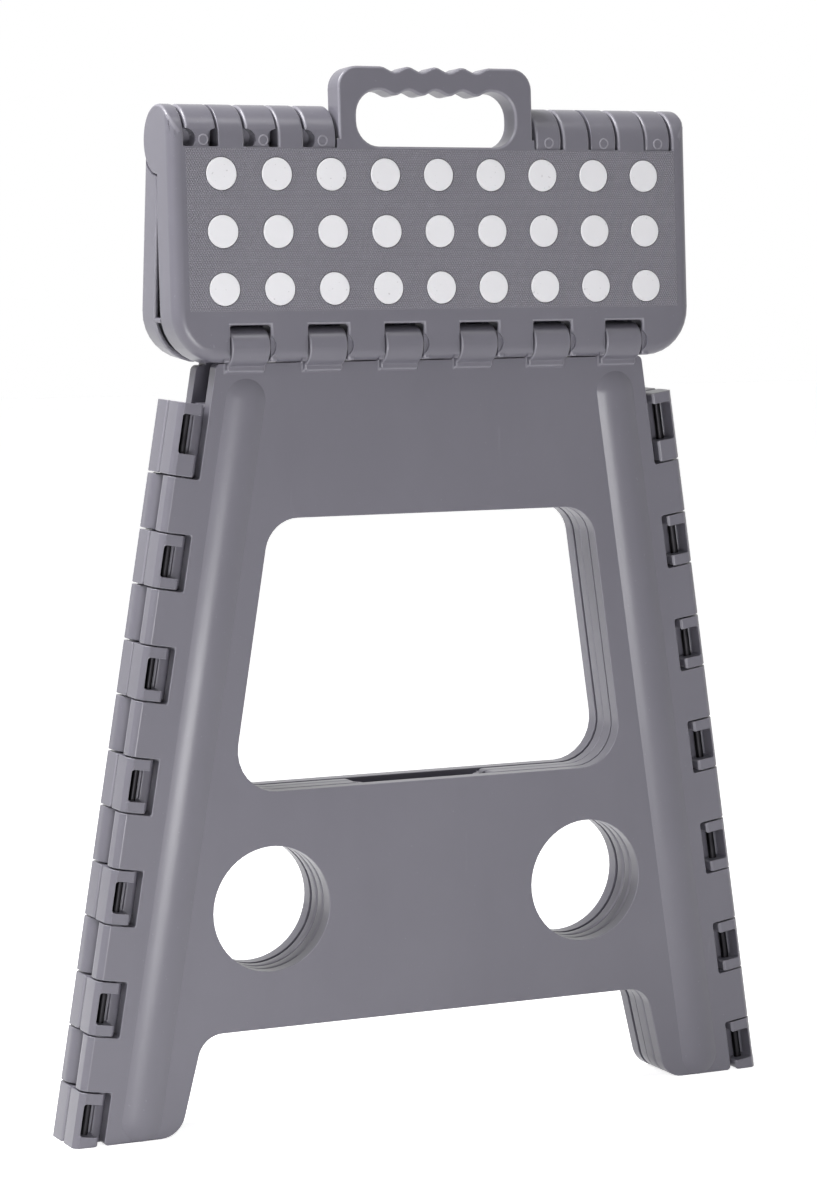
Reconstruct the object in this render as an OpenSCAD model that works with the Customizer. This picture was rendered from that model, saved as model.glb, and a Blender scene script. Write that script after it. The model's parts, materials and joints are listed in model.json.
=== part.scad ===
// Folding step stool with a split tread, two legs and two folding sides.
// It is drawn folded and standing on its feet. The origin lies on the floor in
// the middle of the stack, +Z is up and the front half faces -Y.

/* [Tread] */
// Width of the tread
tread_w = 294; // [286:1:304]
// Distance from the ridge axis to the free edge of one half
tread_d = 111; // [110:0.5:113]
// Distance from the leg hinge axis to the free edge of the tread
hinge_inset = 7.7; // [7:0.1:9]
// Radius of the ridge, which is also the height of the tread above its axis
ridge_r = 17.5; // [16.5:0.25:18.5]
// Depth of the skirt under the tread surface
skirt_h = 20; // [19:0.5:22]
// Thickness of the deck
deck_t = 3; // [2.5:0.25:3.5]
// Thickness of the skirt and of the inner walls
wall_t = 2.6; // [2:0.1:3.2]
// Radius of the free corners of the tread
tread_corner_r = 25; // [16:1:32]
// Rounding of the upper edge of the tread
tread_edge_r = 6; // [4:0.5:7]
// Depth of the lip above the leg hinges
lip_h = 8.5; // [7:0.25:8.75]
// Depth of that lip on the rear half
rear_lip_h = 4.5; // [4:0.25:8]
// Depth of the ribs under the deck
rib_h = 10; // [6:0.5:10]
// Thickness of those ribs
rib_t = 2; // [1.5:0.1:3]

/* [Handle] */
// Width of the handle loop
handle_w = 110.2; // [104:0.5:111]
// Height of the loop above the ridge axis
handle_rise = 36.5; // [34:0.5:40]
// Depth of the handle from front to back
handle_t = 13.5; // [11:0.5:14]
// Width of the finger gap
grip_w = 90; // [84:1:94]
// Height of the finger gap above the ridge axis
grip_rise = 24.4; // [22:0.2:26]
// Drop of the finger gap below the ridge axis
grip_drop = 3.8; // [2:0.2:5]
// Outer corner radius of the loop
handle_corner_r = 11; // [6:0.5:14]
// Corner radius of the finger gap
grip_corner_r = 12.5; // [6:0.5:13]
// Number of finger dips in the top of the loop
dips = 4; // [2:1:4]
// Distance between two dips
dip_pitch = 15.4; // [13:0.1:16]
// Depth of a dip
dip_h = 2.6; // [1:0.1:3]

/* [Ridge hinge] */
// Place of the first ridge notch on the right
right_notch_x = 55.9; // [55.9:0.1:57]
// Width of a ridge notch on the right
right_notch_w = 17.0; // [15:0.1:19]
// Place of the first ridge notch on the left
left_notch_x = 56.2; // [55.9:0.1:57]
// Width of a ridge notch on the left
left_notch_w = 18.4; // [16:0.1:19]
// Gap beside the ridge knuckles
ridge_gap = 1.1; // [0.6:0.1:1.3]
// Width of the end ear of the ridge, on the right
ear_w = 9.3; // [8:0.1:11]
// Radius of the round pockets beside the left knuckles of the rear half
pocket_r = 5.2; // [4:0.1:5.5]
// Height of a pocket's middle above the ridge axis
pocket_rise = 1.5; // [0:0.1:3]
// Distance of a pocket's middle from the wall of its notch
pocket_in = 1; // [0.5:0.1:1.5]
// Depth of a pocket
pocket_depth = 8; // [5:0.5:9]
// Radius of the ridge pins
ridge_pin_r = 2.5; // [2:0.1:3.5]

/* [Grip discs] */
// Radius of a grip disc
disc_r = 8.15; // [6:0.05:9]
// Distance between two discs across the tread
disc_pitch_x = 30; // [26:0.5:32]
// Distance from the last row of discs to the free edge
disc_last = 36; // [34:0.5:39]
// Distance from the ridge axis to the first row
disc_first = 18; // [17:0.5:22]
// Depth of the seat of a disc
disc_seat = 1.2; // [0.8:0.1:1.6]
// Height of a disc above the deck
disc_proud = 0.4; // [0.2:0.1:0.8]

/* [Leg hinges] */
// Height of the leg hinge axis above the top edge of the front leg
hinge_rise = 8; // [7.5:0.1:8.5]
// Distance of the leg hinge axis from the middle of the stack
hinge_y = 15; // [14:0.25:16]
// Radius of the leg hinge knuckles
hinge_r = 10; // [9.5:0.25:10.5]
// Distance from the middle of the last knuckle to the end of the leg's top edge
hinge_end = 15.2; // [14:0.1:20]
// Width of a leg hinge knuckle
hinge_w = 21; // [16:0.5:23]
// Radius of the leg hinge pins
hinge_pin_r = 2; // [1.5:0.1:2.25]
// Radius of the lugs that hold a leg hinge pin
lug_r = 6.6; // [6:0.1:6.6]
// Radius of those lugs on the rear half
rear_lug_r = 4.6; // [4.5:0.1:6.6]
// Width of a lug
lug_w = 3.4; // [2.5:0.1:4]
// Radius of the round relief beside a knuckle
relief_r = 6.2; // [5:0.1:7]
// Play of the leg in the rear tread hinge
rear_play = 5.4; // [5.3:0.05:5.6]
// Drop of the top edge of the rear leg below that of the front leg
rear_drop = 2; // [2:0.5:8]
// Thickness of the foot of a knuckle on the face of the leg
root_t = 2.4; // [1:0.1:3]
// Drop of that foot below the top edge of the leg
root_drop = 4.5; // [3:0.5:8]

/* [Legs] */
// Half the width of the stool at the floor
foot_half_w = 200; // [194:1:206]
// Height of the top edge of the front leg
leg_top = 391; // [390.5:0.1:391.2]
// Lean of the leg edges in the plane of the leg, in degrees
side_tilt = 9; // [8.5:0.1:9.5]
// Thickness of a leg
leg_t = 7.2; // [6:0.2:7.2]
// Half the depth of the folded stack of legs and sides
stack_half = 16; // [15.9:0.1:16.5]
// Height of the top of the window
window_top = 312.5; // [300:0.5:320]
// Height of the bottom of the window
window_bottom = 173.5; // [165:0.5:185]
// Width of the leg beside the window at its top
window_top_frame = 41.7; // [38:0.1:50]
// Width of the leg beside the window at its bottom
window_bottom_frame = 42.4; // [38:0.1:50]
// Radius of the upper corners of the window
window_top_r = 18; // [10:1:24]
// Radius of the lower corners of the window
window_bottom_r = 22; // [10:1:28]
// Radius of the round holes
hole_r = 32.4; // [24:0.2:34]
// Distance of a round hole's middle from the edge of the leg
hole_frame = 74.5; // [70:0.1:80]
// Height of the round holes
hole_z = 113; // [104:0.5:120]
// Height of the arch between the feet
arch_z = 51; // [40:1:60]
// Width of a foot at the top of the arch
ankle_w = 46.2; // [44:0.1:56]
// Radius of the upper corners of the arch
arch_r = 13.4; // [8:0.2:16]
// Width of a foot at the floor
foot_w = 41.6; // [38:0.1:46]
// Radius of the inner corner of a foot
foot_r = 13.5; // [6:0.5:16]
// Width of the long bead on each leg edge
bead_w = 21.6; // [16:0.2:24]
// Height of that bead above the face of the leg
bead_h = 3; // [1.5:0.1:3.2]
// Distance of the bead's middle line from the edge of the leg, at the floor
bead_inset = 20.5; // [18:0.5:24]
// Gap from the top edge of the leg to the end of the bead
bead_gap = 8; // [4:0.5:20]

/* [Corner hinges] */
// Distance of the corner pin from the outer face and from the front face
knuckle_half = 7.2; // [7:0.05:7.3]
// Distance of the corner pin from the notch wall
notch_reach = 9; // [8.9:0.05:9.4]
// Largest distance of a clip's front corners from the corner pin
clip_swing_r = 8.4; // [8:0.1:8.45]
// Height of the lowest tab above the floor end of the pin axis
tab_start = 28.5; // [27:0.5:30]
// Distance from one tab to the next
tab_pitch = 56.5; // [55:0.25:57]
// Height of a tab
tab_h = 27.8; // [26:0.2:29]
// Number of tabs on each leg edge
tabs = 6; // [4:1:6]
// Gap between a tab and a clip
tab_gap = 0.8; // [0.75:0.05:1.2]
// Radius of the boss at each end of a tab
boss_r = 5.5; // [4:0.1:6]
// Height of that boss
boss_h = 0.4; // [0.2:0.05:0.4]
// Height of the arms of a clip
clip_arm = 5.6; // [4:0.2:7]
// Thickness of the outer wall of a clip
clip_wall = 2.5; // [2:0.1:3]
// Distance that the arms reach inside the pin
clip_reach = 5.5; // [4.5:0.1:6]
// Radius of the corner pins
pin_r = 2; // [1.5:0.05:2.1]
// Play of the rear right corner hinge
corner_play = 0.8; // [0.75:0.05:1]

/* [Sides] */
// Drop of the top edge of the sides below that of the front leg
side_drop = 20.4; // [17:0.2:26]
// Thickness of a side
side_t = 7.4; // [7:0.1:7.4]
// Distance of the fold axis from the middle, at the floor
fold_x = 40.69; // [36:0.01:44]
// Lean of the fold axis, in degrees
fold_tilt = 1.2; // [0.8:0.1:1.6]
// Radius of the fold knuckles
fold_r = 5.5; // [5:0.1:5.8]
// Radius of the fold pins
fold_pin_r = 1.8; // [1.4:0.1:2.2]

/* [Fits] */
// Radial clearance of a pin in its bore
fit = 0.05; // [0.02:0.01:0.08]
// Gap between parts that move past each other
gap = 0.5; // [0.4:0.05:0.6]
// Gap from a side to the middle of the stack
mid_gap = 0.2; // [0.2:0.05:0.3]

/* [Hidden] */
$fn = 64;

plastic = [0.47, 0.465, 0.50];
white = [0.89, 0.88, 0.90];
steel = [0.62, 0.62, 0.64];

// Overrun of a cut past the surface that it opens
over = 1;
// Steps of a rounded corner and of one finger dip
corner_steps = 8;
dip_steps = 8;
// Rows and columns of discs, and hinge knuckles on each side of the middle
disc_rows = 3;
disc_cols = 9;
hinge_pairs = 3;
// Notches on each side of the ridge
side_notches = 3;

// The tread leans by the angle that brings its hinge over the leg
hinge_z = leg_top + hinge_rise;
side_top = leg_top - side_drop;
hinge_reach = tread_d - hinge_inset;
hinge_drop = ridge_r - hinge_r;
span = norm([hinge_reach, hinge_drop]);
tread_tilt = asin(hinge_y / span) - atan(hinge_drop / hinge_reach);
ridge_z = hinge_z + hinge_reach * cos(tread_tilt) - hinge_drop * sin(tread_tilt);

// Pitch of the notches and of the discs
notch_pitch = (tread_w / 2 - ear_w - right_notch_x - right_notch_w) / (side_notches - 1);
disc_pitch_y = (tread_d - disc_first - disc_last) / (disc_rows - 1);

// Ridge notches of the front half as [left end, width]
right_notches = [for (i = [0 : side_notches - 1]) [right_notch_x + i * notch_pitch, right_notch_w]];
left_notches = [for (i = [0 : side_notches - 1])
    [-left_notch_x - i * notch_pitch - left_notch_w, left_notch_w]];
notches = concat(right_notches, left_notches);

// Solid knuckles of the front half between those notches, with its end ears
function knuckles_between(first, width, i) =
    let (start = first + i * notch_pitch + width)
    [start, (i == side_notches - 1 ? tread_w / 2 : first + (i + 1) * notch_pitch) - start];
right_knuckles = [for (i = [0 : side_notches - 1]) knuckles_between(right_notch_x, right_notch_w, i)];
left_knuckles = [for (i = [0 : side_notches - 1])
    let (k = knuckles_between(left_notch_x, left_notch_w, i)) [-k[0] - k[1], k[1]]];
knuckles = concat(right_knuckles, left_knuckles);

// Opening in the rear half where the handle lies when the stool stands
cut_half = handle_w / 2 + 2 * gap;
cut_d = norm([handle_rise, ridge_r]) + gap;
ridge_pin_start = cut_half + ridge_pin_r;
ridge_pin_end = tread_w / 2 - wall_t;

// Corner pin axis, as its distance from the middle at the floor and its depth
corner_x = foot_half_w - knuckle_half / cos(side_tilt);
corner_y = stack_half - knuckle_half;
edge_x = corner_x - notch_reach / cos(side_tilt);
side_edge_x = corner_x - (notch_reach + gap) / cos(side_tilt);
side_front = mid_gap + side_t;
top_half = edge_x - leg_top * tan(side_tilt);
// Places of the leg hinge knuckles across the tread
hinge_pitch = (top_half - hinge_end) / (hinge_pairs - 1 / 2);
hinge_places = [for (i = [-hinge_pairs : hinge_pairs - 1]) (i + 1 / 2) * hinge_pitch];
hinge_pin_half = top_half - hinge_end + hinge_w / 2 + gap + lug_w;
// Half the width over which the lip leaves room for the top of a leg
lip_half = edge_x - (leg_top - hinge_r) * tan(side_tilt) + gap;
corner_pin_top = (side_top + notch_reach * sin(side_tilt)) / cos(side_tilt);
sole_r = 2;
rim_r = 3;

// Fold knuckles as [start, height, owner], counted up from the floor
low_knuckles = 5;
high_knuckles = 3;
fold_end_gap = 1.2;
low_start = arch_z + rim_r;
low_h = (window_bottom - fold_end_gap - low_start) / low_knuckles;
high_start = window_top + fold_end_gap;
high_h = (side_top - fold_end_gap - high_start) / high_knuckles;
fold_knuckles = concat(
    [for (i = [0 : low_knuckles - 1]) [low_start + i * low_h, low_h, i % 2]],
    [for (i = [0 : high_knuckles - 1]) [high_start + i * high_h, high_h, i % 2]]);

// Points of an outline whose corners [x, y, radius] are rounded
function unit(v) = v / norm(v);
function corner_arc(a, b, c) =
    let (
        tip = [b.x, b.y],
        to_a = unit([a.x, a.y] - tip),
        to_c = unit([c.x, c.y] - tip),
        half = acos(to_a * to_c) / 2,
        middle = tip + unit(to_a + to_c) * b.z / sin(half),
        first = tip + to_a * b.z / tan(half) - middle,
        last = tip + to_c * b.z / tan(half) - middle,
        from = atan2(first.y, first.x),
        sweep = atan2(first.x * last.y - first.y * last.x, first * last)
    )
    b.z == 0 ? [tip] : [for (i = [0 : corner_steps])
        let (angle = from + sweep * i / corner_steps)
        middle + b.z * [cos(angle), sin(angle)]];
function outline(p) =
    [for (i = [0 : len(p) - 1])
        each corner_arc(p[(i + len(p) - 1) % len(p)], p[i], p[(i + 1) % len(p)])];

// Distance of the leg edge, of the side edge and of the fold axis from the middle
function edge_at(z) = edge_x - z * tan(side_tilt);
function side_edge_at(z) = side_edge_x - z * tan(side_tilt);
function fold_at(z) = fold_x - z * tan(fold_tilt);

// Half widths of the openings, and the place of the round holes
window_top_half = edge_at(window_top) - window_top_frame;
window_bottom_half = edge_at(window_bottom) - window_bottom_frame;
hole_x = edge_at(hole_z) - hole_frame;
arch_half = edge_at(arch_z) - ankle_w;
foot_half = edge_at(0) - foot_w;

// Places a tread half that is drawn level, with the ridge along X and the free
// edge towards -Y, in its folded pose
module folded() {
    translate([0, 0, ridge_z]) rotate([90 - tread_tilt, 0, 0]) children();
}

// Places a shape at the corner pin of the front right corner
module at_corner() {
    translate([corner_x, -corner_y, 0]) rotate([0, -side_tilt, 0]) children();
}

// Places a shape at the fold axis of the right side
module at_fold() {
    translate([fold_x, 0, 0]) rotate([0, -fold_tilt, 0]) children();
}

// A panel that stands in the XZ plane, from y = -front to y = -front + t
module upright(front, t) {
    translate([0, t - front, 0]) rotate([90, 0, 0]) linear_extrude(t) children();
}

// A bar along X from x0, with its radius
module rod_x(x0, length, r) {
    translate([x0, 0, 0]) rotate([0, 90, 0]) cylinder(r = r, h = length);
}

// Outline of a tread half seen from above, drawn in by a given amount
module tread_outline(inset) {
    w = tread_w / 2 - inset;
    r = tread_corner_r - inset;
    polygon(outline([
        [-w, ridge_r, 0], [-w, inset - tread_d, r],
        [w, inset - tread_d, r], [w, ridge_r, 0]
    ]));
}

// Outer form of a tread half, with its upper edge rounded
module tread_form() {
    low = ridge_r - skirt_h;
    hull() {
        translate([0, 0, low]) linear_extrude(skirt_h - tread_edge_r) tread_outline(0);
        for (a = [15 : 15 : 90])
            translate([0, 0, low]) linear_extrude(skirt_h - tread_edge_r * (1 - sin(a)))
                tread_outline(tread_edge_r * (1 - cos(a)));
    }
}

// Ribs under the deck
module tread_ribs() {
    bottom = ridge_r - deck_t - rib_h;
    from = ridge_r + wall_t;
    for (i = [-hinge_pairs : hinge_pairs])
        translate([i * hinge_pitch - rib_t / 2, -hinge_reach, bottom])
            cube([rib_t, hinge_reach - from, rib_h + over]);
    for (i = [0 : disc_rows - 1])
        translate([over - tread_w / 2, -disc_first - (i + 1 / 2) * disc_pitch_y - rib_t / 2, bottom])
            cube([tread_w - 2 * over, rib_t, rib_h + over]);
}

// Hollow tread half up to the ridge axis, before its hinges are cut
module tread_shell() {
    intersection() {
        difference() {
            tread_form();
            translate([0, 0, ridge_r - skirt_h - over])
                linear_extrude(skirt_h - deck_t + over) tread_outline(wall_t);
        }
        translate([-tread_w / 2, -tread_d, ridge_r - skirt_h]) cube([tread_w, tread_d, skirt_h]);
    }
    intersection() {
        tread_ribs();
        tread_form();
    }
}

// Space that one tread half leaves for the other one behind the middle plane
module middle_cut() {
    rotate([tread_tilt, 0, 0]) translate([-tread_w / 2 - over, -tread_d - ridge_r, mid_gap - skirt_h])
        cube([tread_w + 2 * over, tread_d + 2 * ridge_r, skirt_h]);
}

// Roots of the ridge knuckles, which tie their discs to the deck
module knuckle_roots(places, side_gap) {
    intersection() {
        for (k = places)
            translate([k[0] + side_gap, -ridge_r - wall_t, ridge_r - skirt_h])
                cube([k[1] - 2 * side_gap, ridge_r + wall_t, skirt_h]);
        tread_form();
    }
}

// Notches for the leg hinge knuckles, with the round reliefs beside them
module hinge_notches(play, lip) {
    for (x = hinge_places) {
        translate([x - hinge_w / 2 - gap, -tread_d - over, -ridge_r])
            cube([hinge_w + 2 * gap, tread_d + over - hinge_reach + hinge_r + gap + play, 3 * ridge_r]);
        for (side = [-1, 1])
            translate([x + side * (hinge_w - relief_r) / 2, -hinge_reach, ridge_r - deck_t - over])
                cylinder(r = relief_r, h = deck_t + 2 * over);
    }
    translate([-lip_half, -tread_d - over, -ridge_r])
        cube([2 * lip_half, wall_t + 2 * over, 2 * ridge_r - lip]);
}

// Lugs that hold the leg hinge pin beside each knuckle
module lugs(r) {
    for (x = hinge_places)
        for (side = [-1, 1])
            translate([x + side * (hinge_w / 2 + gap + lug_w / 2) - lug_w / 2, -hinge_reach, hinge_drop]) {
                rod_x(0, lug_w, r);
                translate([0, hinge_reach - tread_d, 0])
                    cube([lug_w, r + tread_d - hinge_reach, ridge_r - hinge_drop - deck_t / 2]);
            }
}

// Places of the grip discs. A half that is open from the ridge, over the given
// half width and depth, carries none that would meet the opening.
function disc_places(open_half, open_d) = [
    for (row = [0 : disc_rows - 1])
        for (col = [0 : disc_cols - 1])
            let (x = (col - (disc_cols - 1) / 2) * disc_pitch_x, y = disc_first + row * disc_pitch_y)
            if (abs(x) > open_half + disc_r || y > open_d + disc_r || open_d == 0) [x, -y]
];

// Discs or their seats on a tread half
module at_discs(open_half, open_d) {
    for (place = disc_places(open_half, open_d))
        translate([place.x, place.y, ridge_r - disc_seat]) children();
}

// Everything below a line at the given height that follows the finger dips
module below_dips(level) {
    w = handle_w / 2 + over;
    low = -ridge_r - wall_t - over;
    dips_w = dips * dip_pitch;
    steps = dips * dip_steps;
    polygon(concat(
        [for (i = [0 : steps])
            [i / steps * dips_w - dips_w / 2, level - dip_h / 2 * (1 - cos(360 * i / dip_steps))]],
        [[w, level], [w, low], [-w, low], [-w, level]]));
}

// Loop of the handle seen from the front, with its finger dips
module handle_outline() {
    w = handle_w / 2;
    root = ridge_r + wall_t;
    difference() {
        intersection() {
            polygon(outline([
                [-w, -root, 0], [w, -root, 0],
                [w, handle_rise, handle_corner_r], [-w, handle_rise, handle_corner_r]
            ]));
            below_dips(handle_rise);
        }
        intersection() {
            polygon(outline([
                [-grip_w / 2, -grip_drop, grip_corner_r], [grip_w / 2, -grip_drop, grip_corner_r],
                [grip_w / 2, grip_rise, grip_corner_r], [-grip_w / 2, grip_rise, grip_corner_r]
            ]));
            below_dips(grip_rise);
        }
    }
}

// Everything that is taken away round the ridge for the other half's knuckles
module ridge_cut(places, side_gap) {
    for (k = places)
        rod_x(k[0] - side_gap, k[1] + 2 * side_gap, ridge_r + gap);
}

// Discs of the ridge knuckles. Their ends follow the rounded edge of the tread.
module ridge_discs(places, side_gap) {
    intersection() {
        for (k = places)
            rod_x(k[0] + side_gap, k[1] - 2 * side_gap, ridge_r);
        union() {
            tread_form();
            translate([-tread_w / 2, -ridge_r, -ridge_r])
                cube([tread_w, 2 * ridge_r, 2 * ridge_r - skirt_h + over]);
        }
    }
}

module ridge_bores() {
    for (side = [0, 1])
        mirror([side, 0, 0]) rod_x(ridge_pin_start, ridge_pin_end - ridge_pin_start, ridge_pin_r + fit);
}

module hinge_bore() {
    translate([0, -hinge_reach, hinge_drop]) rod_x(-hinge_pin_half, 2 * hinge_pin_half, hinge_pin_r + fit);
}

module disc_seats(open_half, open_d) {
    at_discs(open_half, open_d) cylinder(r = disc_r + fit, h = disc_seat + over);
}

// Round pockets beside the left knuckles of the rear half. The knuckle next to
// the handle has none on that side.
module knuckle_pockets() {
    for (i = [0 : side_notches - 1])
        for (side = i == 0 ? [0] : [0, 1])
            translate([
                left_notches[i][0] + pocket_in + side * (left_notch_w - 2 * pocket_in),
                pocket_rise, -ridge_r - over
            ])
                cylinder(r = pocket_r, h = pocket_depth + over);
}

// Front half of the tread, with the handle
module front_tread() {
    color(plastic) folded() difference() {
        union() {
            difference() {
                union() {
                    tread_shell();
                    knuckle_roots(knuckles, 0);
                }
                middle_cut();
                ridge_cut(notches, 0);
                hinge_notches(0, lip_h);
                translate([-grip_w / 2, -grip_drop, -ridge_r]) cube([grip_w, ridge_r, 3 * ridge_r]);
            }
            ridge_discs(knuckles, 0);
            translate([0, 0, ridge_r - handle_t]) linear_extrude(handle_t) handle_outline();
            lugs(lug_r);
        }
        ridge_bores();
        hinge_bore();
        disc_seats(0, 0);
    }
}

// Rear half of the tread, open where the handle lies when the stool stands
module back_tread() {
    color(plastic) mirror([0, 1, 0]) folded() difference() {
        union() {
            difference() {
                union() {
                    tread_shell();
                    knuckle_roots(notches, ridge_gap);
                    translate([-cut_half - wall_t, -cut_d - wall_t, ridge_r - skirt_h])
                        cube([2 * (cut_half + wall_t), cut_d + wall_t, skirt_h]);
                }
                middle_cut();
                ridge_cut(knuckles, ridge_gap);
                hinge_notches(rear_play, rear_lip_h);
            }
            ridge_discs(notches, ridge_gap);
            lugs(rear_lug_r);
        }
        translate([-cut_half, -cut_d, -ridge_r]) cube([2 * cut_half, cut_d + 2 * ridge_r, 3 * ridge_r]);
        ridge_bores();
        knuckle_pockets();
        hinge_bore();
        disc_seats(cut_half, cut_d);
    }
}

module front_grip_discs() {
    color(white) folded() at_discs(0, 0) cylinder(r = disc_r, h = disc_seat + disc_proud);
}

module back_grip_discs() {
    color(white) mirror([0, 1, 0]) folded()
        at_discs(cut_half, cut_d) cylinder(r = disc_r, h = disc_seat + disc_proud);
}

module right_ridge_pin() {
    color(steel) translate([0, 0, ridge_z])
        rod_x(ridge_pin_start, ridge_pin_end - ridge_pin_start, ridge_pin_r);
}

module left_ridge_pin() {
    mirror([1, 0, 0]) right_ridge_pin();
}

module front_hinge_pin() {
    color(steel) translate([0, -hinge_y, hinge_z]) rod_x(-hinge_pin_half, 2 * hinge_pin_half, hinge_pin_r);
}

module back_hinge_pin() {
    mirror([0, 1, 0]) front_hinge_pin();
}

// Outline of a leg seen from the front
module leg_outline(top) {
    difference() {
        polygon(outline([
            [-edge_at(0), 0, sole_r], [-foot_half, 0, foot_r], [-arch_half, arch_z, arch_r],
            [arch_half, arch_z, arch_r], [foot_half, 0, foot_r], [edge_at(0), 0, sole_r],
            [edge_at(top), top, rim_r], [-edge_at(top), top, rim_r]
        ]));
        polygon(outline([
            [-window_bottom_half, window_bottom, window_bottom_r],
            [window_bottom_half, window_bottom, window_bottom_r],
            [window_top_half, window_top, window_top_r],
            [-window_top_half, window_top, window_top_r]
        ]));
        for (side = [-1, 1]) translate([side * hole_x, hole_z]) circle(r = hole_r);
    }
}

// Long bead beside the right edge of a leg
module leg_bead() {
    bead_r = (pow(bead_w / 2, 2) + pow(bead_h, 2)) / (2 * bead_h);
    length = (leg_top - bead_gap) / cos(side_tilt) - bead_w;
    intersection() {
        translate([edge_at(0) - bead_inset, bead_r - bead_h - stack_half, bead_w / 2])
            rotate([0, -side_tilt, 0]) {
                cylinder(r = bead_r, h = length);
                sphere(r = bead_r);
                translate([0, 0, length]) sphere(r = bead_r);
            }
        translate([0, -stack_half - bead_h, 0]) cube([foot_half_w, bead_h + leg_t / 2, leg_top]);
    }
}

// Section of a corner tab, seen along its pin
module tab_section() {
    circle(r = knuckle_half);
    translate([-notch_reach - gap, -knuckle_half]) square([notch_reach + gap, knuckle_half]);
    intersection() {
        translate([0, -knuckle_half]) square([knuckle_half, knuckle_half]);
        circle(r = clip_swing_r);
    }
}

// Tabs on the right edge of a leg
module leg_tabs() {
    at_corner() difference() {
        for (i = [0 : tabs - 1])
            translate([0, 0, tab_start + i * tab_pitch]) {
                linear_extrude(tab_h) tab_section();
                translate([0, 0, -boss_h]) cylinder(r = boss_r, h = tab_h + 2 * boss_h);
            }
        cylinder(r = pin_r + fit, h = corner_pin_top);
    }
}

// A leg with its hinge knuckles, tabs and beads, drawn as the front one
module leg(drop, bore_r) {
    color(plastic) difference() {
        union() {
            upright(stack_half, leg_t) leg_outline(leg_top - drop);
            for (side = [0, 1]) mirror([side, 0, 0]) {
                leg_tabs();
                leg_bead();
            }
            for (x = hinge_places) {
                translate([x - hinge_w / 2, -hinge_y, hinge_z]) rod_x(0, hinge_w, hinge_r);
                translate([x - hinge_w / 2, -stack_half - root_t, leg_top - drop - root_drop])
                    cube([hinge_w, leg_t + root_t, root_drop + drop + hinge_rise]);
            }
        }
        translate([0, -hinge_y, hinge_z]) rod_x(-hinge_pin_half, 2 * hinge_pin_half, bore_r);
    }
}

module front_leg() {
    leg(0, hinge_pin_r + fit);
}

module back_leg() {
    mirror([0, 1, 0]) leg(rear_drop, hinge_pin_r + rear_play);
}

// Clip that turns on the corner pin, from z0 and h high, with two arms
module clip(z0, h, arm_low, arm_high) {
    back = corner_y - gap;
    translate([0, 0, z0]) {
        intersection() {
            difference() {
                translate([-clip_reach, -knuckle_half, 0])
                    cube([clip_reach + knuckle_half, knuckle_half + back, h]);
                translate([-clip_reach - over, -knuckle_half - over, arm_low])
                    cube([
                        clip_reach + over + knuckle_half - clip_wall,
                        knuckle_half + over + pin_r + gap,
                        h - arm_low - arm_high
                    ]);
            }
            union() {
                cylinder(r = clip_swing_r, h = h);
                translate([-notch_reach, 0, 0]) cube([2 * notch_reach, 2 * notch_reach, h]);
            }
        }
        translate([-notch_reach - 3 * gap, corner_y - side_front, 0])
            cube([notch_reach + 3 * gap - clip_reach + over, back - corner_y + side_front, h]);
    }
}

// All clips of one side, cut level with the floor
module clips(bore_r) {
    top_z = (side_top + clip_reach * sin(side_tilt)) / cos(side_tilt);
    last = tab_start + (tabs - 1) * tab_pitch + tab_h + tab_gap;
    difference() {
        at_corner() difference() {
            union() {
                clip(-over, tab_start - tab_gap + over, clip_arm + over, clip_arm);
                for (i = [0 : tabs - 2])
                    clip(tab_start + tab_h + tab_gap + i * tab_pitch,
                        tab_pitch - tab_h - 2 * tab_gap, clip_arm, clip_arm);
                clip(last, top_z - last, 2 * clip_arm, clip_arm);
            }
            translate([0, 0, -2 * over]) cylinder(r = bore_r, h = corner_pin_top + over);
        }
        translate([0, -2 * stack_half, -stack_half])
            cube([foot_half_w + stack_half, 3 * stack_half, stack_half]);
    }
}

// Outline of the right side seen from the front
module side_outline() {
    difference() {
        polygon(outline([
            [fold_at(arch_z) + gap, arch_z, rim_r], [arch_half, arch_z, arch_r],
            [foot_half, 0, foot_r], [side_edge_at(0), 0, sole_r],
            [side_edge_at(side_top), side_top, sole_r],
            [fold_at(side_top) + gap, side_top, rim_r],
            [fold_at(window_top) + gap, window_top, rim_r],
            [window_top_half, window_top, window_top_r],
            [window_bottom_half, window_bottom, window_bottom_r],
            [fold_at(window_bottom) + gap, window_bottom, rim_r]
        ]));
        translate([hole_x, hole_z]) circle(r = hole_r);
    }
}

// Half of a side, drawn as the front right one. It owns the fold knuckles that
// carry its number.
module side_half(owner, bore_r) {
    color(plastic) difference() {
        union() {
            difference() {
                upright(side_front, side_t) side_outline();
                at_fold()
                    for (k = fold_knuckles)
                        if (k[2] != owner)
                            translate([-fold_r, -side_front - over, k[0] - gap / 4])
                                cube([2 * fold_r + gap, side_t + mid_gap + 2 * over, k[1] + gap / 2]);
            }
            at_fold()
                for (k = fold_knuckles)
                    if (k[2] == owner)
                        translate([0, 0, k[0] + gap / 2]) {
                            cylinder(r = fold_r, h = k[1] - gap);
                            translate([0, mid_gap - side_front, 0])
                                cube([fold_r, side_t - 2 * mid_gap, k[1] - gap]);
                        }
            clips(bore_r);
        }
        at_fold() cylinder(r = fold_pin_r + fit, h = side_top);
    }
}

module front_right_side() {
    side_half(1, pin_r + fit);
}

module front_left_side() {
    mirror([1, 0, 0]) side_half(1, pin_r + fit);
}

module back_right_side() {
    mirror([0, 1, 0]) side_half(0, pin_r + corner_play);
}

module back_left_side() {
    mirror([0, 1, 0]) mirror([1, 0, 0]) side_half(0, pin_r + fit);
}

module front_right_corner_pin() {
    color(steel) at_corner() translate([0, 0, clip_arm / 2])
        cylinder(r = pin_r, h = corner_pin_top - clip_arm);
}

module front_left_corner_pin() {
    mirror([1, 0, 0]) front_right_corner_pin();
}

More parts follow.
